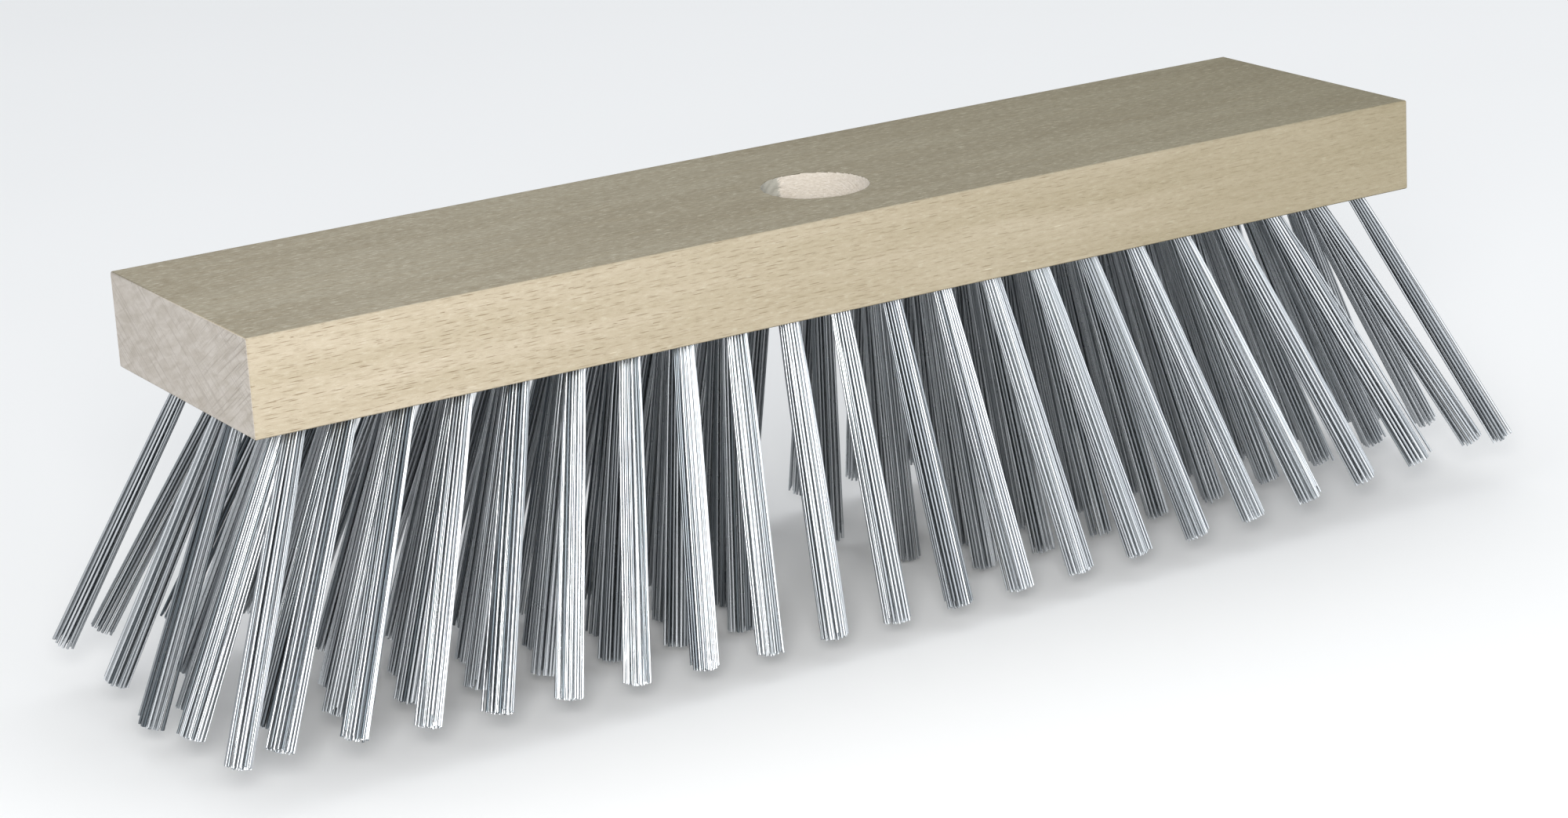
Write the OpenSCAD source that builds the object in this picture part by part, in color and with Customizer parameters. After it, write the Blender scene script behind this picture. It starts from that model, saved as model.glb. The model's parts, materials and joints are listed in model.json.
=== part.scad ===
// Steel-wire broom head: a raw beech block with five fanned rows of wire tufts.
// The tufts are folded wire bundles, each held in its own drilled hole by a flat anchor.
// +Z is up, +X runs along the block. The head stands on its lowest wire tips at z = 0.

/* [Block] */
// Length of the block
block_l = 300; // [280:5:400]
// Width of the block
block_w = 71; // [69:1:90]
// Thickness of the block
block_h = 21.5; // [20:0.5:30]
// Eased edge all round the block
edge_ease = 0.4; // [0.2:0.1:1.5]
// How far the block stands off the middle of the tuft field, along it
block_offset = -1.5; // [-2:0.5:2]

/* [Handle hole] */
// Diameter of the through hole for the handle
handle_d = 24; // [20:1:25]
// Distance of the hole's mouth from the middle of the tuft field, along it
handle_x = 1; // [-3:0.5:3]
// Distance of the hole's mouth in front of the middle of the block
handle_front = 7; // [5:0.5:8]
// Lean of the handle towards the front
handle_tilt = 15; // [10:1:18]

/* [Tuft layout] */
// Tufts in an outer, middle or other odd row; the rows between have one less
row_tufts = 22; // [18:1:22]
// Spacing of the tufts along a row
tuft_pitch = 13.3; // [12.5:0.1:13.4]
// How much nearer the end tufts of an odd row stand to their neighbours
end_inset = 1.5; // [0:0.1:3]
// Spacing of the rows across the block
row_pitch = 13.3; // [12:0.1:13.5]
// Wood left between the foot of the handle hole and the nearest tufts
hole_wall = 4.2; // [3.8:0.1:5]

/* [Tufts] */
// Diameter of a tuft where it leaves the block
root_d = 5.2; // [4:0.1:5.4]
// Diameter of a tuft at its cut tips
tip_d = 6.6; // [5.4:0.1:7]
// Free length of an outer tuft
outer_length = 73; // [60:1:85]
// Extra free length of the middle row
middle_extra = 2; // [0:0.1:4]
// Outward lean along the block: tip shift as a share of the root's distance
lean_along = 0.25; // [0.1:0.01:0.3]
// Farthest reach of the tips along the block, from the middle of the tuft field
tip_reach = 167.3; // [150:0.1:175]
// Outward reach of the outer rows' tips, from the middle of the block
fan_reach = 47.5; // [35:0.5:52]
// How sharply the fan opens towards the outer rows
fan_power = 1.2; // [1:0.05:1.4]

/* [Anchors] */
// Depth of a tuft hole along its own axis
hole_depth = 13; // [11:0.5:15]
// Height of the flat anchor wire, along the hole
anchor_h = 2; // [1.6:0.1:2.4]
// Thickness of the flat anchor wire
anchor_t = 0.5; // [0.4:0.05:0.7]
// How far each end of the anchor bites into the wood
anchor_bite = 0.5; // [0.3:0.1:0.8]

/* [Hidden] */
$fn = 32;
rows = 5;
middle_row = 2;
// Clear space round a tuft's shank and round an anchor, so that no two solids overlap
slip = 0.03;
// Length of the rounded fold at the top of a shank, and its narrow end's share of the width
fold_h = 1.4;
fold_share = 0.45;
// Distance of the anchor's lower edge from the blind end of its hole
anchor_seat = 2.6;
// Overshoot of a cut past the face it opens
cut_past = 2;

function sq(v) = v * v;
function is_odd_row(r) = r % 2 == 0;
function row_count(r) = is_odd_row(r) ? row_tufts : row_tufts - 1;

// Root of tuft i in row r, on the underside of the block
function inset_of(r, i) =
    !is_odd_row(r) ? 0 : i == 0 ? end_inset : i == row_tufts - 1 ? -end_inset : 0;
function root_x(r, i) = (i - (row_count(r) - 1) / 2) * tuft_pitch + inset_of(r, i);
function root_y(r) = (r - middle_row) * row_pitch;

// Shift of the tip from the root, and the drop between them
function fan(r) = abs(r - middle_row) / middle_row;
function tip_y(r) = sign(r - middle_row) * pow(fan(r), fan_power) * fan_reach;
function shift_along(x) = sign(x) * min(lean_along * abs(x), tip_reach - abs(x));
function shift_x(r, i) = shift_along(root_x(r, i));
function shift_y(r) = tip_y(r) - root_y(r);
function free_length(r) = outer_length + middle_extra * (1 - fan(r));
function drop(r, i) = sqrt(sq(free_length(r)) - sq(shift_x(r, i)) - sq(shift_y(r)));

// Angles that turn a tuft from straight down to its own axis
function lean(r, i) = atan2(norm([shift_x(r, i), shift_y(r)]), drop(r, i));
function bearing(r, i) = atan2(shift_y(r), shift_x(r, i));

// A tuft is left out where its root would stand too near the foot of the handle hole
handle_top_y = -handle_front;
handle_foot_y = handle_top_y + block_h * tan(handle_tilt);
keep_out = (handle_d + root_d) / 2 + hole_wall;
function blocked(r, i) = norm([root_x(r, i), root_y(r) - handle_foot_y]) < keep_out;

// All tufts as [row, number], and the lowest point of the tips
tufts = [for (r = [0:rows - 1]) for (i = [0:row_count(r) - 1]) if (!blocked(r, i)) [r, i]];
function lowest(r, i) = drop(r, i) + tip_d / 2 * sin(lean(r, i));
stand_h = max([for (t = tufts) lowest(t[0], t[1])]);

// Neighbours in a row go two by two into one group
row_groups = ceil(row_tufts / 2);
function in_group(t, g) = t[0] == g[0] && floor(t[1] / 2) == g[1];
function group_tufts(g) = [for (t = tufts) if (in_group(t, g)) t];
all_groups = [for (r = [0:rows - 1]) for (k = [0:row_groups - 1]) [r, k]];
groups = [for (g = all_groups) if (len(group_tufts(g)) > 0) g];

// Nodes: the block, the tufts group by group, and the anchors row by row
function group_name(g) = str("row_", g[0] + 1, "_tufts_", g[1] < 9 ? "0" : "", g[1] + 1);
function anchor_name(r) = str("anchors_row_", r + 1);
group_names = [for (g = groups) group_name(g)];
anchor_names = [for (r = [0:rows - 1]) anchor_name(r)];

// Puts its children at a tuft's root, with +Z down the tuft
module at_tuft(r, i)
    translate([root_x(r, i), root_y(r), stand_h])
        rotate([0, 0, bearing(r, i)])
            rotate([0, 180 - lean(r, i), 0])
                children();

// Flat anchor wire across the fold, lying square to the tuft
module anchor_bar(grow)
    translate([0, 0, anchor_seat + anchor_h / 2 - hole_depth])
        cube([anchor_t + 2 * grow, root_d + 2 * anchor_bite + 2 * grow, anchor_h + 2 * grow],
            center = true);

module tuft_hole(r, i)
    at_tuft(r, i) {
        translate([0, 0, -hole_depth])
            cylinder(h = hole_depth + cut_past + root_d, d = root_d);
        anchor_bar(0);
    }

module tuft(r, i)
    at_tuft(r, i)
        difference() {
            union() {
                translate([0, 0, -hole_depth + slip])
                    cylinder(h = fold_h, d1 = root_d * fold_share, d2 = root_d - 2 * slip);
                translate([0, 0, fold_h + slip - hole_depth])
                    cylinder(h = hole_depth - fold_h - slip, d = root_d - 2 * slip);
                cylinder(h = free_length(r), d1 = root_d - 2 * slip, d2 = tip_d);
            }
            anchor_bar(slip);
        }

module eased_profile(a, b)
    polygon([
        [-a / 2, edge_ease - b / 2],
        [edge_ease - a / 2, -b / 2],
        [a / 2 - edge_ease, -b / 2],
        [a / 2, edge_ease - b / 2],
        [a / 2, b / 2 - edge_ease],
        [a / 2 - edge_ease, b / 2],
        [edge_ease - a / 2, b / 2],
        [-a / 2, b / 2 - edge_ease]
    ]);

// Plain bar with every edge eased, standing on z = 0
module eased_bar()
    translate([0, 0, block_h / 2])
        intersection() {
            linear_extrude(block_h, center = true)
                eased_profile(block_l, block_w);
            rotate([90, 0, 0])
                linear_extrude(block_w, center = true)
                    eased_profile(block_l, block_h);
            rotate([90, 0, 90])
                linear_extrude(block_l, center = true)
                    eased_profile(block_w, block_h);
        }

module handle_hole()
    translate([handle_x, handle_top_y, block_h])
        rotate([handle_tilt, 0, 0])
            cylinder(h = 3 * block_h, d = handle_d, center = true, $fn = 64);

module block()
    color("burlywood")
        difference() {
            translate([block_offset, 0, stand_h])
                eased_bar();
            translate([0, 0, stand_h])
                handle_hole();
            for (t = tufts)
                tuft_hole(t[0], t[1]);
        }

// Two neighbouring tufts of one row
module tuft_group(g)
    color("lightsteelblue")
        for (t = group_tufts(g))
            tuft(t[0], t[1]);

module anchors(r)
    color("silver")
        for (t = tufts)
            if (t[0] == r)
                at_tuft(r, t[1])
                    anchor_bar(0);

block();
for (g = groups)
    tuft_group(g);
for (r = [0:rows - 1])
    anchors(r);
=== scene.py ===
"""Steel-wire broom head in soft studio light: raw beech block, every wire of every tuft modelled.

Lengths are in metres unless a name or a comment says mm. The wires follow the CAD's tufts one by
one, and the block is the CAD's own, cut again with a ragged handle hole.
"""

import json
import math
from collections import namedtuple

import bmesh
import bpy
import numpy as np
from mathutils import Matrix, Vector


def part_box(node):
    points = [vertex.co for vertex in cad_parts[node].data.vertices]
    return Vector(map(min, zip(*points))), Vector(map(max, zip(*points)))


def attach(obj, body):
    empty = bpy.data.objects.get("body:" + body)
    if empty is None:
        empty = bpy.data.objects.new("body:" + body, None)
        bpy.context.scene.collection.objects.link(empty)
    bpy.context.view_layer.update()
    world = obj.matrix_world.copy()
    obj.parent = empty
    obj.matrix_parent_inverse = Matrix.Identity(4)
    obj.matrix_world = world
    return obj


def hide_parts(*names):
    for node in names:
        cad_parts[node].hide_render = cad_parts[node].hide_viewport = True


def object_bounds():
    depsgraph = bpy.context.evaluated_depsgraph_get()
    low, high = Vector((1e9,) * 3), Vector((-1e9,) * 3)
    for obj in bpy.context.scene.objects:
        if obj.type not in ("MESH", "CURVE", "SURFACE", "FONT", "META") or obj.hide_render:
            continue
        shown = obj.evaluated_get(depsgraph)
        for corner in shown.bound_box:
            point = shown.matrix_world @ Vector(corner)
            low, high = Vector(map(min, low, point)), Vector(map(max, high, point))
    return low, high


MM = 0.001
BODY = "root"
SHARP_EDGE = math.radians(50)

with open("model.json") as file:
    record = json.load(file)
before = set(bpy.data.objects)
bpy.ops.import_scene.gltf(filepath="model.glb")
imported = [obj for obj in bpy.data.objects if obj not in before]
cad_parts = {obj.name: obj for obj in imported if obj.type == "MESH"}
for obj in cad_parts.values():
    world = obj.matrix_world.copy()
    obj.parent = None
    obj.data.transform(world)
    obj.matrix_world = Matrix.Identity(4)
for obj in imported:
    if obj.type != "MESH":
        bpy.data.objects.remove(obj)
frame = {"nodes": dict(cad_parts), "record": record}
cad_low, cad_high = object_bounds()
block_low, block_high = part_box("block")
UNDERSIDE = block_low.z
TOP = block_high.z
HANDLE = next(m for m in frame["record"]["mounts"] if m["name"] == "handle_hole")
rng = np.random.default_rng(24)


# ---------------------------------------------------------------- objects


def add_object(name, data):
    """A new object in the scene for a mesh, a light or a camera."""
    obj = bpy.data.objects.new(name, data)
    bpy.context.scene.collection.objects.link(obj)
    return obj


def mesh_object(name, points, faces, material):
    """A new smooth-shaded object from point and face lists."""
    mesh = bpy.data.meshes.new(name)
    mesh.from_pydata(points, [], faces)
    mesh.update()
    mesh.materials.append(material)
    mesh.shade_smooth()
    return add_object(name, mesh)


def tube_faces(start, rings, sides):
    """Faces of a closed tube whose points stand ring by ring, numbered from start."""
    faces = []
    for ring in range(rings - 1):
        near = start + ring * sides
        far = near + sides
        for k in range(sides):
            m = (k + 1) % sides
            faces.append((near + k, near + m, far + m, far + k))
    faces.append(tuple(start + k for k in reversed(range(sides))))
    last = start + (rings - 1) * sides
    faces.append(tuple(last + k for k in range(sides)))
    return faces


def unit(v):
    return v / np.linalg.norm(v)


# ---------------------------------------------------------------- materials


class Graph:
    """A new material, with short names for the nodes in it."""

    def __init__(self, name):
        self.material = bpy.data.materials.new(name)
        self.material.use_nodes = True
        self.tree = self.material.node_tree
        self.tree.nodes.clear()
        self.bsdf = self.tree.nodes.new("ShaderNodeBsdfPrincipled")
        out = self.tree.nodes.new("ShaderNodeOutputMaterial")
        self.tree.links.new(self.bsdf.outputs[0], out.inputs[0])

    def put(self, socket, value):
        if isinstance(value, bpy.types.NodeSocket):
            self.tree.links.new(value, socket)
        else:
            socket.default_value = value

    def surface(self, **values):
        """Sets the shader's own inputs. An underscore stands for a space in an input's name."""
        for key, value in values.items():
            self.put(self.bsdf.inputs[key.replace("_", " ")], value)

    def node(self, kind, values=(), **settings):
        n = self.tree.nodes.new(kind)
        for key, value in settings.items():
            setattr(n, key, value)
        for key, value in dict(values).items():
            self.put(n.inputs[key], value)
        return n

    def math(self, operation, a, b=0.0):
        return self.node("ShaderNodeMath", {0: a, 1: b}, operation=operation).outputs[0]

    def times(self, a, b):
        return self.math("MULTIPLY", a, b)

    def one_minus(self, a):
        return self.math("SUBTRACT", 1.0, a)

    def vector(self, operation, a, b=(0.0, 0.0, 0.0)):
        n = self.node("ShaderNodeVectorMath", {0: a, 1: b}, operation=operation)
        return n.outputs["Value" if operation in ("LENGTH", "DOT_PRODUCT") else "Vector"]

    def parts(self, vector):
        """The x, y and z of a vector."""
        return self.node("ShaderNodeSeparateXYZ", {"Vector": vector}).outputs

    def mm(self):
        """Object coordinates in millimetres."""
        at = self.node("ShaderNodeTexCoord").outputs["Object"]
        return self.vector("MULTIPLY", at, (1 / MM, 1 / MM, 1 / MM))

    def place(self, scale, rotation=(0.0, 0.0, 0.0), location=(0.0, 0.0, 0.0)):
        """Object coordinates in millimetres, turned and shifted, then times scale."""
        values = {"Vector": self.mm(), "Rotation": rotation, "Location": location}
        turned = self.node("ShaderNodeMapping", values, vector_type="POINT").outputs[0]
        return self.vector("MULTIPLY", turned, scale)

    def noise(self, at, detail=3.0, roughness=0.5, distortion=0.0):
        values = {"Vector": at, "Scale": 1.0, "Detail": detail}
        values |= {"Roughness": roughness, "Distortion": distortion}
        return self.node("ShaderNodeTexNoise", values).outputs["Fac"]

    def ramp(self, value, low, high, to_low=0.0, to_high=1.0):
        """Evenly from to_low, where value is at low, to to_high, where it is at high."""
        values = {"Value": value, "From Min": low, "From Max": high}
        values |= {"To Min": to_low, "To Max": to_high}
        return self.node("ShaderNodeMapRange", values, clamp=True).outputs[0]

    def mix(self, factor, a, b, blend="MIX"):
        values = {"Factor": factor, "A": a, "B": b}
        n = self.node("ShaderNodeMix", values, data_type="RGBA", blend_type=blend)
        return n.outputs["Result"]

    def attribute(self, name):
        return self.node("ShaderNodeAttribute", attribute_name=name).outputs["Fac"]

    def bump(self, height, distance, strength):
        values = {"Height": height, "Distance": distance, "Strength": strength}
        return self.node("ShaderNodeBump", values).outputs[0]


def rgb(red, green, blue):
    """A colour as seen on screen, 0 to 255, as scene-linear values."""

    def linear(v):
        v /= 255
        return v / 12.92 if v <= 0.04045 else ((v + 0.055) / 1.055) ** 2.4

    return (linear(red), linear(green), linear(blue), 1.0)


# ---------------------------------------------------------------- beech

# Noise is placed in features per mm along x, y and z: few along the grain, many across it

SIDE_DARK = rgb(171, 159, 137)
SIDE_PALE = rgb(182, 170, 150)
TOP_DARK = rgb(148, 139, 119)
TOP_PALE = rgb(160, 152, 133)
STREAK = rgb(160, 148, 123)
FIBRE_DARK = rgb(154, 139, 113)
FIBRE_PALE = rgb(204, 195, 175)
SPECK_DARK = rgb(122, 108, 82)
SPECK_PALE = rgb(206, 199, 182)
FLECK_DARK = rgb(118, 98, 70)
FLECK_PALE = rgb(222, 214, 194)
GRIT_PALE = rgb(228, 222, 206)
END_DARK = rgb(178, 170, 160)
END_PALE = rgb(194, 187, 179)
PORE = rgb(160, 149, 137)
SAW_MARK = rgb(148, 138, 128)
BORE_DARK = rgb(218, 208, 194)
BORE_PALE = rgb(242, 234, 224)
# Painted shade on the torn side of the handle hole's wall: half shade, then full shade
TORN_SIDE_PAINTED_HALF_SHADE = rgb(184, 182, 172)
TORN_SIDE_PAINTED_SHADE = rgb(140, 141, 136)
# Painted shade: what the wood's colour is multiplied by at its right end, darker there as if the light
# falls off
PAINTED_SHADE_AT_RIGHT_END = (0.7, 0.7, 0.63, 1.0)

# Turn of the saw marks on the end grain from upright, to one side and to the other, in radians
SAW_TURN = 1.02
# Height of the wood's relief
RELIEF = 0.12 * MM
# Level direction across the handle hole, from its torn side, which has painted shade, to its clean, lit
# one
TORN_SHADED_TO_CLEAN_LIT = (0.86, -0.51, 0.0)


def dashes(g, cell, half, keep, shift=(0.0, 0.0, 0.0)):
    """Lens-shaped flecks in cells of the given size, where keep is the share of cells with one.

    cell, half (a fleck's half size) and shift (of all cells) are x, y and z in mm.
    """
    at = g.place(tuple(1 / c for c in cell), location=shift)
    values = {"Vector": at, "Scale": 1.0, "Randomness": 0.9}
    cells = g.node("ShaderNodeTexVoronoi", values, voronoi_dimensions="3D").outputs
    away = g.vector("SUBTRACT", at, cells["Position"])
    away = g.vector("MULTIPLY", away, tuple(c / h for c, h in zip(cell, half)))
    near = g.ramp(g.vector("LENGTH", away), 1.0, 0.45)
    pick = g.node("ShaderNodeSeparateColor", {"Color": cells["Color"]}).outputs
    chosen = g.ramp(pick[0], 1 - keep, 1 - keep + 0.05)
    weight = g.ramp(pick[1], 0.0, 1.0, to_low=0.35)
    return g.times(near, g.times(chosen, weight))


def long_grain(g, faces_z, fibre):
    """Colour of the long faces: slow changes of tone, streaks, fibres and specks along the grain."""
    broad = g.noise(g.place((0.012, 0.09, 0.12)), 4.0, 0.55, 0.3)
    streak = g.noise(g.place((0.035, 0.7, 0.9), location=(5.0, 3.0, 1.0)), 5.0, 0.6, 0.4)
    speck = g.noise(g.place((0.45, 1.5, 1.5), location=(9.0, 2.0, 6.0)), 4.0, 0.7)
    tone = g.ramp(broad, 0.35, 0.65)
    colour = g.mix(faces_z, g.mix(tone, SIDE_DARK, SIDE_PALE), g.mix(tone, TOP_DARK, TOP_PALE))
    colour = g.mix(g.ramp(streak, 0.45, 0.72, to_high=0.35), colour, STREAK)
    colour = g.mix(g.ramp(fibre, 0.55, 0.75, to_high=0.25), colour, FIBRE_PALE)
    colour = g.mix(g.ramp(fibre, 0.45, 0.25, to_high=0.26), colour, FIBRE_DARK)
    speckled = g.ramp(faces_z, 0.0, 1.0, 0.26, 0.6)
    colour = g.mix(g.times(g.ramp(speck, 0.54, 0.7), speckled), colour, SPECK_DARK)
    return g.mix(g.times(g.ramp(speck, 0.46, 0.3), speckled), colour, SPECK_PALE)


def ray_flecks(g, faces_z):
    """The ray flecks, seen end-on in the long sides and as thin lines in the top."""
    large = dashes(g, cell=(5.0, 9.0, 1.35), half=(2.1, 30.0, 0.11), keep=0.72)
    small = dashes(g, cell=(3.6, 9.0, 0.9), half=(1.3, 30.0, 0.08), keep=0.6, shift=(3.0, 1.0, 2.0))
    in_sides = g.math("MAXIMUM", large, g.times(small, 0.6))
    large = dashes(g, cell=(6.5, 1.3, 9.0), half=(2.3, 0.1, 30.0), keep=0.5)
    small = dashes(g, cell=(3.1, 0.8, 9.0), half=(1.1, 0.07, 30.0), keep=0.5, shift=(2.0, 4.0, 1.0))
    in_top = g.math("MAXIMUM", large, g.times(small, 0.7))
    return g.mix(faces_z, in_sides, in_top)


def end_grain(g, y_mm):
    """(colour of the end grain, depth of its saw marks): growth rings, pores and crossed saw marks."""
    rings = g.noise(g.place((0.02, 0.16, 0.55), rotation=(0.35, 0.0, 0.0)), 3.0, 0.5, 0.6)
    pores = g.noise(g.place((1.0, 3.2, 3.2)), 3.0, 0.7)
    colour = g.mix(g.ramp(rings, 0.35, 0.65), END_DARK, END_PALE)
    colour = g.mix(g.ramp(pores, 0.5, 0.8, to_high=0.12), colour, PORE)
    cuts = []
    for turn in (SAW_TURN, -SAW_TURN):
        across = g.place((0.0, 2.2, 0.05), rotation=(turn, 0.0, 0.0))
        cuts.append(g.ramp(g.noise(across, 1.0), 0.54, 0.68))
    in_front = g.ramp(y_mm, 10.0, -33.0)
    sawn = g.math("MAXIMUM", g.times(cuts[0], 0.7), g.times(cuts[1], in_front))
    return g.mix(g.times(sawn, 0.5), colour, SAW_MARK), sawn


def bore_wall(g, faces_z):
    """(where the wall of the handle hole is, its colour with painted shade on its torn side, its torn
    relief).
    """
    radius = HANDLE["dims"]["r_mm"]
    away = g.vector("SUBTRACT", g.mm(), tuple(v / MM for v in HANDLE["pos_m"]))
    off_axis = g.vector("LENGTH", g.vector("CROSS_PRODUCT", away, tuple(HANDLE["axis"])))
    bored = g.times(g.ramp(off_axis, radius + 0.9, radius + 0.6), g.one_minus(faces_z))
    torn = g.noise(g.place((1.1, 1.1, 3.2)), 4.0, 0.7, 0.4)
    colour = g.mix(g.ramp(torn, 0.35, 0.68), BORE_DARK, BORE_PALE)
    ragged = g.math("ADD", g.vector("DOT_PRODUCT", away, TORN_SHADED_TO_CLEAN_LIT), g.times(torn, 3.2))
    # Painted shade: the wall turns grey on its torn side, a little and then more
    colour = g.mix(g.ramp(ragged, -5.0, -5.4), colour, TORN_SIDE_PAINTED_HALF_SHADE)
    colour = g.mix(g.ramp(ragged, -7.6, -10.6), colour, TORN_SIDE_PAINTED_SHADE)
    return bored, colour, torn


def beech():
    g = Graph("beech")
    facing = g.parts(g.node("ShaderNodeNewGeometry").outputs["Normal"])
    faces_x = g.ramp(g.math("ABSOLUTE", facing[0]), 0.5, 0.9)
    faces_z = g.ramp(g.math("ABSOLUTE", facing[2]), 0.5, 0.9)
    long_faces = g.one_minus(faces_x)
    at = g.parts(g.mm())
    fibre = g.noise(g.place((0.35, 5.0, 5.0), location=(1.0, 7.0, 4.0)), 4.0, 0.65)
    grit = g.noise(g.place((3.0, 5.0, 5.0)), 3.0, 0.6)

    colour = long_grain(g, faces_z, fibre)
    flecks = g.times(ray_flecks(g, faces_z), long_faces)
    flecks = g.times(flecks, g.ramp(at[0], -90.0, 90.0, 1.0, 0.45))
    colour = g.mix(g.times(flecks, g.ramp(faces_z, 0.0, 1.0, 0.75, 0.6)), colour, FLECK_DARK)
    pale = dashes(g, cell=(5.0, 3.0, 3.0), half=(1.6, 0.16, 0.16), keep=0.3, shift=(7.0, 2.0, 5.0))
    colour = g.mix(g.times(g.times(pale, long_faces), 0.55), colour, FLECK_PALE)

    end, sawn = end_grain(g, at[1])
    colour = g.mix(faces_x, colour, end)
    colour = g.mix(g.ramp(grit, 0.6, 0.8, to_high=0.12), colour, GRIT_PALE)
    # Painted shade: the wood's colour darkens towards its right end
    colour = g.mix(g.ramp(at[0], -120.0, 150.0), colour, PAINTED_SHADE_AT_RIGHT_END, "MULTIPLY")
    bored, wall, torn = bore_wall(g, faces_z)
    colour = g.mix(bored, colour, wall)

    height = g.math("ADD", g.times(fibre, 0.5), g.times(grit, 0.35))
    height = g.math("SUBTRACT", height, g.times(flecks, 0.5))
    height = g.math("ADD", height, g.times(g.times(torn, bored), 1.2))
    height = g.math("SUBTRACT", height, g.times(g.times(sawn, faces_x), 0.8))
    g.surface(
        Base_Color=colour,
        Roughness=g.ramp(grit, 0.3, 0.7, 0.62, 0.78),
        Normal=g.bump(height, RELIEF, 0.9),
        Specular_IOR_Level=0.25,
    )
    return g.material


# ---------------------------------------------------------------- steel

WIRE_DARK = rgb(82, 90, 96)
WIRE_PALE = rgb(238, 241, 244)
WIRE_CLOUD = rgb(116, 124, 130)
WIRE_SCUFF = rgb(176, 172, 162)
ANCHOR_DARK = rgb(128, 130, 134)
ANCHOR_PALE = rgb(182, 184, 188)


def wire_steel():
    """Bright drawn wire. "tone" differs from wire to wire, "along" runs down each wire in mm."""
    g = Graph("wire_steel")
    tone, along = g.attribute("tone"), g.attribute("along")

    def down_the_wire(per_mm, per_tone):
        values = {"X": g.times(along, per_mm), "Y": g.times(tone, per_tone)}
        return g.node("ShaderNodeCombineXYZ", values).outputs[0]

    cloud = g.noise(down_the_wire(0.06, 90.0), 3.0, 0.55)
    scuff = g.noise(down_the_wire(1.4, 310.0), 2.0, 0.6)
    colour = g.mix(tone, WIRE_DARK, WIRE_PALE)
    colour = g.mix(g.ramp(cloud, 0.45, 0.75, to_high=0.4), colour, WIRE_CLOUD)
    colour = g.mix(g.ramp(scuff, 0.6, 0.8, to_high=0.3), colour, WIRE_SCUFF)
    rough = g.math("ADD", g.ramp(cloud, 0.3, 0.7, 0.2, 0.3), g.ramp(tone, 0.0, 1.0, 0.08, 0.0))
    g.surface(Base_Color=colour, Roughness=rough, Metallic=1.0)
    return g.material


def anchor_steel():
    g = Graph("anchor_steel")
    cloud = g.noise(g.place((0.8, 0.8, 2.0)), 4.0, 0.6)
    colour = g.mix(cloud, ANCHOR_DARK, ANCHOR_PALE)
    g.surface(Base_Color=colour, Roughness=g.ramp(cloud, 0.3, 0.7, 0.3, 0.5), Metallic=1.0)
    return g.material


BEECH = beech()
WIRE = wire_steel()
ANCHOR = anchor_steel()


# ---------------------------------------------------------------- the CAD's tufts

# Points that round to the same multiple of this are one point
SAME_POINT = 1e-7
# Points within this of a tuft's end belong to it: while the axis is only roughly known, and after
END_BAND = 0.2 * MM
DISC_BAND = 0.02 * MM
AXIS_ROUNDS = 8

# x_dir and y_dir lie square to the axis; the flat anchor lies along y_dir
Tuft = namedtuple("Tuft", "root tip fold axis x_dir y_dir")


def solids(node):
    """The separate solids of a CAD node, each as an array of its distinct points."""
    mesh = frame["nodes"][node].data
    raw = np.array([v.co for v in mesh.vertices], float)
    keys = np.round(raw / SAME_POINT).astype(np.int64)
    _, first, same = np.unique(keys, axis=0, return_index=True, return_inverse=True)
    same = same.reshape(-1)
    points = raw[first]
    owner = np.arange(len(points))

    def owner_of(i):
        while owner[i] != i:
            owner[i] = owner[owner[i]]
            i = owner[i]
        return i

    for polygon in mesh.polygons:
        corners = [owner_of(same[i]) for i in polygon.vertices]
        for corner in corners[1:]:
            owner[owner_of(corner)] = owner_of(corners[0])
    owners = np.array([owner_of(i) for i in range(len(points))])
    return [points[owners == one] for one in np.unique(owners)]


def disc_centre(points, axis, end):
    """Centre of the flat disc at one end of a round solid: end is 1 for the far end, -1 for the near."""
    along = points @ axis * end
    rim = points[along > along.max() - DISC_BAND]
    across = unit(np.cross(axis, (0.3, 0.9, 0.1)))
    other = np.cross(axis, across)
    a, b = rim @ across, rim @ other
    middle = (a.max() + a.min()) / 2 * across + (b.max() + b.min()) / 2 * other
    return middle + rim.mean(0) @ axis * axis


def read_tuft(points):
    """Root on the block's underside, tip, top of the fold and directions of one CAD tuft."""
    axis = unit(points[points[:, 2].argmin()] - points[points[:, 2].argmax()])
    for _ in range(AXIS_ROUNDS):
        along = points @ axis
        tip = points[along > along.max() - END_BAND].mean(0)
        fold = points[along < along.min() + END_BAND].mean(0)
        axis = unit(tip - fold)
    tip = disc_centre(points, axis, 1)
    fold = disc_centre(points, axis, -1)
    axis = unit(tip - fold)
    root = tip - axis * (tip[2] - UNDERSIDE) / axis[2]
    bearing = math.atan2(axis[1], axis[0])
    y_dir = np.array((-math.sin(bearing), math.cos(bearing), 0.0))
    return Tuft(root, tip, fold, axis, np.cross(y_dir, axis), y_dir)


# ---------------------------------------------------------------- wires

WIRE_R = 0.28 * MM
WIRE_SIDES = 8

# The wires lie beside the anchor in layers parallel to it
FIRST_LAYER = 0.60 * MM
LAYER = 0.56 * MM
PITCH = 0.66 * MM
BUNDLE_R = 2.27 * MM
BUNDLE_SLACK = 0.06 * MM
SLOT_JITTER = 0.01 * MM

# The fold: depth under its top of the anchor's upper edge, and of a place clear of the lower edge
ANCHOR_DEPTH = 2.6 * MM
NECK_DEPTH = 5.2 * MM
FOLD_CLEARANCE = 0.02 * MM
FOLD_STEPS = 6

# Below the anchor the wires close up by this, but stay this far from the middle at least
CLOSE_UP = 0.3 * MM
LEAST_OFF = 0.05 * MM

# Spread of the tips, as a share of the places at the root, and more across the anchor than along it
TIP_SPREAD = 1.38
SPREAD_JITTER = 0.05
MORE_ACROSS = 1.15
TIP_JITTER = 0.08 * MM
TIP_LIMIT = 3.15 * MM
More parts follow.
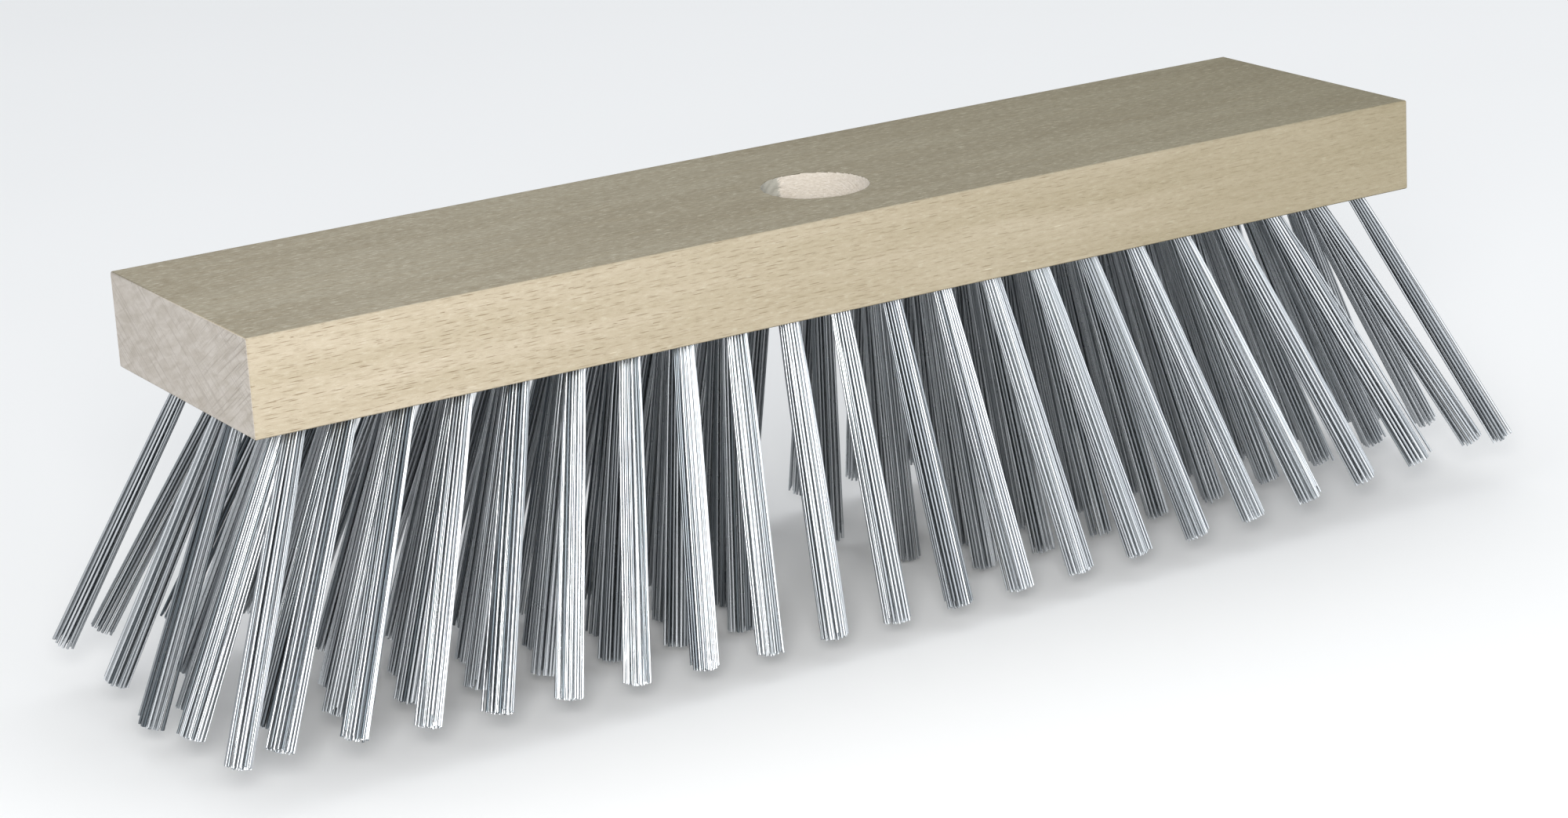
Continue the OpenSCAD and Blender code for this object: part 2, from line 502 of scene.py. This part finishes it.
# Power of the way down at which the bundle opens: 1 is evenly, and less is early
OPENING = 0.55

# The cut tips: a crowned end, uneven lengths and a few wires cut well short
CROWN = 0.5 * MM
CROWN_R = 3.0 * MM
LEAST_CUT = 0.12 * MM
UNEVEN_CUT = 0.28 * MM
SHORT_SHARE = 0.05
SHORT_CUT = (0.5 * MM, 2.2 * MM)
CUT_SLANT = 0.16

# A few stray wires, and a slight bow in every one
STRAY_SHARE = 0.012
STRAY_REACH = (0.6 * MM, 1.8 * MM)
BOW = 0.07 * MM
END_STEPS = 5

# Brightness: the wires differ most at the left, and less and less towards the right
TONE_MIDDLE = 0.55
TONE_SHAPE = 1.1
CONTRAST = 0.78
CONTRAST_FADE = 0.34
FADE_LENGTH = 60 * MM

# The tips' middles stay this far inside the CAD's box, so that the whole wire is in it
BOX_MARGIN = 1.5 * WIRE_R
INNER_LOW = np.array(cad_low)[:2] + BOX_MARGIN
INNER_HIGH = np.array(cad_high)[:2] - BOX_MARGIN


def wire_slots():
    """Places of the folded wires beside the anchor: (distance from its middle plane, place along it)."""
    slots = []
    layer = 0
    while FIRST_LAYER + layer * LAYER < BUNDLE_R:
        x = FIRST_LAYER + layer * LAYER
        reach = math.sqrt(BUNDLE_R**2 - x * x)
        offset = PITCH / 2 if layer % 2 else 0.0
        count = int((reach + BUNDLE_SLACK - offset) // PITCH)
        places = [offset + k * PITCH for k in range(count + 1)]
        slots += [(x, y) for y in places] + [(x, -y) for y in places if y > 0]
        layer += 1
    return slots


SLOTS = wire_slots()


def add_tube(points, faces, path, cuts):
    """A round wire along a path. cuts has the two slopes of its first end, then of its last."""
    start = len(points)
    path = np.array(path)
    n = len(path)
    slopes = [cuts[:2]] + [(0.0, 0.0)] * (n - 2) + [cuts[2:]]
    side = unit(np.cross(unit(path[1] - path[0]), (0.31, 0.87, 0.38)))
    for i in range(n):
        ahead = unit(path[min(i + 1, n - 1)] - path[max(i - 1, 0)])
        side = unit(side - ahead * (side @ ahead))
        other = np.cross(ahead, side)
        for k in range(WIRE_SIDES):
            angle = 2 * math.pi * k / WIRE_SIDES
            c, s = WIRE_R * math.cos(angle), WIRE_R * math.sin(angle)
            slant = c * slopes[i][0] + s * slopes[i][1]
            points.append(path[i] + side * c + other * s + ahead * slant)
    faces += tube_faces(start, n, WIRE_SIDES)


def tip_place(x, y, stray):
    """Place of a wire's tip across its tuft, and how far from the middle it is without straying."""
    spread = TIP_SPREAD * (1 + rng.normal(0, SPREAD_JITTER))
    tip_x = x * spread * MORE_ACROSS + rng.normal(0, TIP_JITTER)
    tip_y = y * spread + rng.normal(0, TIP_JITTER)
    reach = math.hypot(tip_x, tip_y)
    if reach > TIP_LIMIT:
        tip_x *= TIP_LIMIT / reach
        tip_y *= TIP_LIMIT / reach
    if stray:
        angle = rng.uniform(0, 2 * math.pi)
        tip_x += math.cos(angle) * rng.uniform(*STRAY_REACH)
        tip_y += math.sin(angle) * rng.uniform(*STRAY_REACH)
    return tip_x, tip_y, reach


def end_path(tuft, x, y):
    """Path of one wire end from where it leaves the wood down to its tip."""
    stray = rng.random() < STRAY_SHARE
    closed_x = math.copysign(max(abs(x) - CLOSE_UP, LEAST_OFF), x)
    tip_x, tip_y, reach = tip_place(closed_x, y, stray)
    shorter = CROWN * (reach / CROWN_R) ** 2 + abs(rng.normal(0, UNEVEN_CUT)) + LEAST_CUT
    if rng.random() < SHORT_SHARE:
        shorter += rng.uniform(*SHORT_CUT)
    free = np.linalg.norm(tuft.tip - tuft.root)
    end = tuft.root + tuft.axis * (free - shorter) + tuft.x_dir * tip_x + tuft.y_dir * tip_y
    end[:2] = np.clip(end[:2], INNER_LOW, INNER_HIGH)
    bow = tuft.x_dir * rng.normal(0, BOW) + tuft.y_dir * rng.normal(0, BOW)
    aside_root = tuft.x_dir * closed_x + tuft.y_dir * y
    axis_end = tuft.root + tuft.axis * ((end - tuft.root) @ tuft.axis)
    path = []
    for k in range(END_STEPS + 1):
        t = k / END_STEPS
        opened = t**OPENING
        aside = aside_root * (1 - opened) + (end - axis_end) * opened
        path.append(tuft.root * (1 - t) + axis_end * t + aside + bow * math.sin(math.pi * t))
    return path


def fold_path(tuft, x, y):
    """Path of a wire over the anchor, from one side of it to the other."""
    saddle = tuft.fold + tuft.axis * ANCHOR_DEPTH + tuft.y_dir * y
    neck = tuft.fold + tuft.axis * NECK_DEPTH + tuft.y_dir * y
    height = min(x, ANCHOR_DEPTH - WIRE_R - FOLD_CLEARANCE)
    path = [neck + tuft.x_dir * x]
    for k in range(FOLD_STEPS + 1):
        angle = math.pi * k / FOLD_STEPS
        aside, up = x * math.cos(angle), height * math.sin(angle)
        path.append(saddle + tuft.x_dir * aside - tuft.axis * up)
    path.append(neck - tuft.x_dir * x)
    return path


def add_tuft(points, faces, facts, tuft):
    """All wires of one tuft. facts gets each point's tone, and its place along the wire in mm."""
    contrast = CONTRAST - CONTRAST_FADE * math.tanh(tuft.root[0] / FADE_LENGTH)
    for x, y in SLOTS:
        x += rng.normal(0, SLOT_JITTER)
        one = end_path(tuft, x, y)
        two = end_path(tuft, -x, y)
        path = one[::-1] + fold_path(tuft, x, y) + two
        add_tube(points, faces, path, rng.normal(0, CUT_SLANT, 4))
        tone = TONE_MIDDLE + contrast * (rng.beta(TONE_SHAPE, TONE_SHAPE) - 0.5)
        steps = np.linalg.norm(np.diff(np.array(path), axis=0), axis=1)
        for distance in np.concatenate([[0.0], np.cumsum(steps)]) / MM:
            facts += [(tone, distance)] * WIRE_SIDES


def make_tufts(node):
    points, faces, facts = [], [], []
    for solid in solids(node):
        add_tuft(points, faces, facts, read_tuft(solid))
    obj = mesh_object(f"wires_{node}", points, faces, WIRE)
    for column, key in enumerate(("tone", "along")):
        layer = obj.data.attributes.new(key, "FLOAT", "POINT")
        layer.data.foreach_set("value", np.array(facts, np.float32)[:, column].copy())
    obj.data.set_sharp_from_angle(angle=SHARP_EDGE)
    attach(obj, BODY)
    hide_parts(node)


for name in sorted(frame["nodes"]):
    if name.startswith("row_"):
        make_tufts(name)

for name, obj in frame["nodes"].items():
    if name.startswith("anchors_"):
        obj.material_slots[0].material = ANCHOR


# ---------------------------------------------------------------- block

# Points of the CAD's block that are nearer than this are joined
WELD = 0.001 * MM

# The cutter that opens the handle hole a little past the CAD's bore
CUTTER_STEPS = 90
CUTTER_SPOKES = 200
CUTTER_HALF = 19 * MM
CUT_PAST = 0.03 * MM

# Its lightly ragged wall: waves round the hole, which wander along it
RAG = 0.03 * MM
RAG_WAVES = (9, 14, 23, 37)
RAG_WANDER = 0.9
RAG_WANDER_PER_M = 700

# The torn end grain at its left: from one angle to the other, deeper than the rest, and rippled
TORN_FROM = math.radians(97)
TORN_TO = math.radians(236)
TORN_DEPTH = 0.34 * MM
RIPPLE = 0.08 * MM
RIPPLE_WAVES = 17
RIPPLE_PER_M = 1900

# Its edges wander along the hole by these angles, in radians
EDGE_WANDER = 0.05
EDGE_JAG = 0.035
FROM_WANDER_PER_M = 2600
FROM_JAG_PER_M = 6100
TO_WANDER_PER_M = 2100


def bore_radius(angle, h, phase):
    """Radius of the handle hole at an angle round it and a height along it."""
    rag = 0.0
    for number, waves in enumerate(RAG_WAVES):
        wander = RAG_WANDER * math.sin(h * RAG_WANDER_PER_M + number)
        rag += math.sin(waves * angle + phase[number] + wander) / len(RAG_WAVES)
    radius = HANDLE["dims"]["r_mm"] * MM + CUT_PAST + RAG * rag
    torn_from = TORN_FROM + EDGE_WANDER * math.sin(h * FROM_WANDER_PER_M + phase[-1])
    torn_from += EDGE_JAG * math.sin(h * FROM_JAG_PER_M)
    torn_to = TORN_TO + EDGE_WANDER * math.sin(h * TO_WANDER_PER_M)
    if torn_from < angle < torn_to:
        radius += TORN_DEPTH + RIPPLE * math.sin(RIPPLE_WAVES * angle + h * RIPPLE_PER_M)
    return radius


def handle_cutter():
    """The handle's bore, with the torn fibres of its left end grain and a lightly ragged wall."""
    centre = np.array(HANDLE["pos_m"])
    axis = unit(np.array(HANDLE["axis"]))
    across = np.array((1.0, 0.0, 0.0))
    back = np.cross(axis, across)
    phase = rng.uniform(0, 2 * math.pi, 6)
    points = []
    for i in range(CUTTER_STEPS + 1):
        h = -CUTTER_HALF + 2 * CUTTER_HALF * i / CUTTER_STEPS
        for k in range(CUTTER_SPOKES):
            angle = 2 * math.pi * k / CUTTER_SPOKES
            outward = across * math.cos(angle) + back * math.sin(angle)
            points.append(centre + axis * h + bore_radius(angle, h, phase) * outward)
    faces = tube_faces(0, CUTTER_STEPS + 1, CUTTER_SPOKES)
    return mesh_object("handle_cutter", points, faces, BEECH)


def clean_copy(mesh, name):
    """A copy of a CAD mesh with its doubled points joined, in beech."""
    copy = mesh.copy()
    copy.name = name
    bm = bmesh.new()
    bm.from_mesh(copy)
    bmesh.ops.remove_doubles(bm, verts=bm.verts, dist=WELD)
    bmesh.ops.recalc_face_normals(bm, faces=bm.faces)
    bm.to_mesh(copy)
    bm.free()
    copy.materials.clear()
    copy.materials.append(BEECH)
    return copy


def make_block():
    raw = add_object("beech_block_raw", clean_copy(frame["nodes"]["block"].data, "beech_block"))
    cutter = handle_cutter()
    bore = raw.modifiers.new("bore", "BOOLEAN")
    bore.operation = "DIFFERENCE"
    bore.solver = "EXACT"
    bore.object = cutter
    bpy.context.view_layer.update()
    graph = bpy.context.evaluated_depsgraph_get()
    mesh = bpy.data.meshes.new_from_object(raw.evaluated_get(graph))
    mesh.name = "beech_block"
    bpy.data.objects.remove(raw)
    bpy.data.objects.remove(cutter)
    mesh.shade_smooth()
    mesh.set_sharp_from_angle(angle=SHARP_EDGE)
    obj = add_object("beech_block", mesh)
    even = obj.modifiers.new("even_normals", "WEIGHTED_NORMAL")
    even.keep_sharp = True
    even.weight = 100
    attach(obj, BODY)
    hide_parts("block")


make_block()


# ---------------------------------------------------------------- floor, light, camera

FLOOR_HALF = 6.0
FLOOR_DARK = (0.91, 0.91, 0.91, 1.0)
FLOOR_PALE = (0.94, 0.94, 0.94, 1.0)
WARM_WHITE = (1.0, 0.99, 0.97)
COOL_WHITE = (0.97, 0.985, 1.0)
SKY = (0.95, 0.975, 1.0, 1.0)
SKY_STRENGTH = 0.78

# The camera turns round the middle of the block's top: angles in radians, lengths in metres
AZIMUTH = -0.533
ELEVATION = 0.294
ROLL = -0.058
DISTANCE = 0.896
ACROSS = -0.00136
UP = -0.05134
FOCAL_MM = 91.11
SENSOR_MM = 36.0


def make_floor():
    g = Graph("pale_floor")
    cloud = g.noise(g.place((0.004, 0.004, 0.004)), 2.0)
    colour = g.mix(cloud, FLOOR_DARK, FLOOR_PALE)
    g.surface(Base_Color=colour, Roughness=0.9, Specular_IOR_Level=0.1)
    signs = ((-1, -1), (1, -1), (1, 1), (-1, 1))
    corners = [(x * FLOOR_HALF, y * FLOOR_HALF, 0.0) for x, y in signs]
    floor = mesh_object("floor", corners, [(0, 1, 2, 3)], g.material)


def area_light(name, at, target, size, power, colour):
    """A rectangular lamp at one place, facing another: size in metres, power in watts."""
    data = bpy.data.lights.new(name, "AREA")
    data.shape = "RECTANGLE"
    data.size, data.size_y = size
    data.energy = power
    data.color = colour
    obj = add_object(name, data)
    obj.location = at
    obj.rotation_mode = "QUATERNION"
    obj.rotation_quaternion = (Vector(target) - Vector(at)).to_track_quat("-Z", "Y")


def make_light():
    area_light(
        "key",
        at=(-0.47, -0.74, 0.39),
        target=(-0.03, 0.0, 0.05),
        size=(0.24, 0.24),
        power=5.0,
        colour=WARM_WHITE,
    )
    area_light(
        "low_front",
        at=(1.05, -1.25, 0.4),
        target=(0.05, 0.0, 0.05),
        size=(2.4, 0.9),
        power=11.0,
        colour=COOL_WHITE,
    )
    area_light(
        "overhead",
        at=(0.1, 0.3, 1.5),
        target=(0.0, 0.0, 0.0),
        size=(1.4, 1.4),
        power=2.0,
        colour=COOL_WHITE,
    )
    world = bpy.data.worlds.new("studio")
    bpy.context.scene.world = world
    world.use_nodes = True
    background = world.node_tree.nodes["Background"]
    background.inputs["Color"].default_value = SKY
    background.inputs["Strength"].default_value = SKY_STRENGTH


def make_camera():
    """Looks at the block's top from its front left, slightly tilted."""
    out = math.cos(ELEVATION)
    back = Vector((math.sin(AZIMUTH) * out, -math.cos(AZIMUTH) * out, math.sin(ELEVATION)))
    level = Vector((0, 0, 1)).cross(back).normalized()
    upright = back.cross(level)
    right = level * math.cos(ROLL) + upright * math.sin(ROLL)
    up = upright * math.cos(ROLL) - level * math.sin(ROLL)
    middle_of_top = Vector(((block_low.x + block_high.x) / 2, 0, TOP))
    at = right * ACROSS + up * UP + back * DISTANCE + middle_of_top
    data = bpy.data.cameras.new("camera")
    data.lens = FOCAL_MM
    data.sensor_width = SENSOR_MM
    data.sensor_fit = "HORIZONTAL"
    data.clip_start = 0.05
    data.clip_end = 30.0
    camera = add_object("camera", data)
    camera.matrix_world = Matrix.Translation(at) @ Matrix((right, up, back)).transposed().to_4x4()
    bpy.context.scene.camera = camera


make_floor()
make_light()
make_camera()
bpy.context.scene.view_settings.view_transform = "Standard"

bpy.context.view_layer.update()
